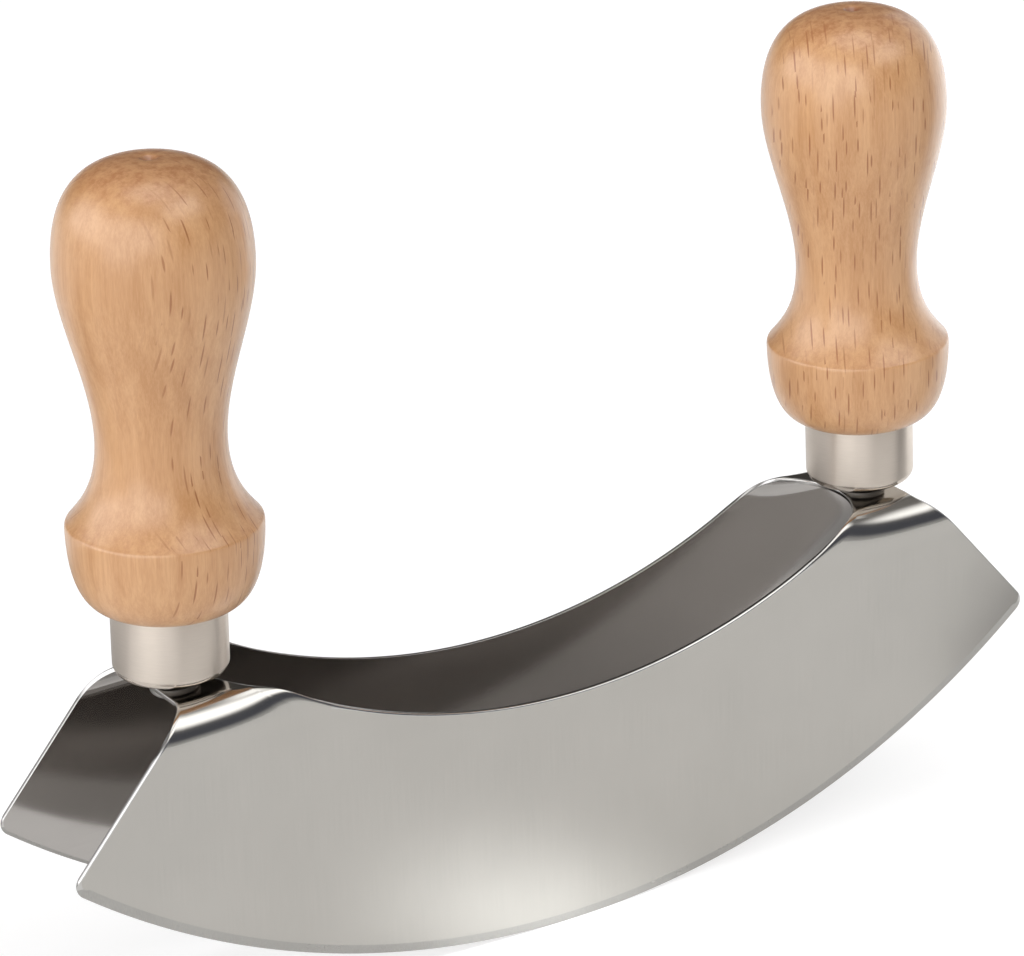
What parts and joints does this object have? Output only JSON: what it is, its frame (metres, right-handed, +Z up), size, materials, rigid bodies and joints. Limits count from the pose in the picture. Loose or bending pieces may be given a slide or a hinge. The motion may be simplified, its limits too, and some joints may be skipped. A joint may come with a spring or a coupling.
{
  "type": "mezzaluna",
  "caption": "Double-bladed mezzaluna: one steel sheet folded into two parallel curved blades, with an upright turned beech handle in a steel ferrule on the bridge at each end.",
  "frame": {"origin": "midway between the two blades and midway along them, on the surface that the two cutting edges rest on", "axes": "+X runs along the blades, +Y across them from the front blade to the rear one, and +Z up towards the handles"},
  "size_m": [0.214, 0.0358, 0.1643],
  "materials": {
    "blade_steel": "satin outside, polished on the folds, the bridges and the inner faces",
    "beech": "clear satin lacquer",
    "ferrule_steel": "satin",
    "washer_steel": "plain",
    "screw_steel": "plain"
  },
  "bodies": {
    "root": {"double_blade": "blade_steel", "left_handle": "beech", "right_handle": "beech", "left_ferrule": "ferrule_steel", "right_ferrule": "ferrule_steel", "left_washer": "washer_steel", "right_washer": "washer_steel", "left_screw": "screw_steel", "right_screw": "screw_steel"}
  },
  "joints": []
}
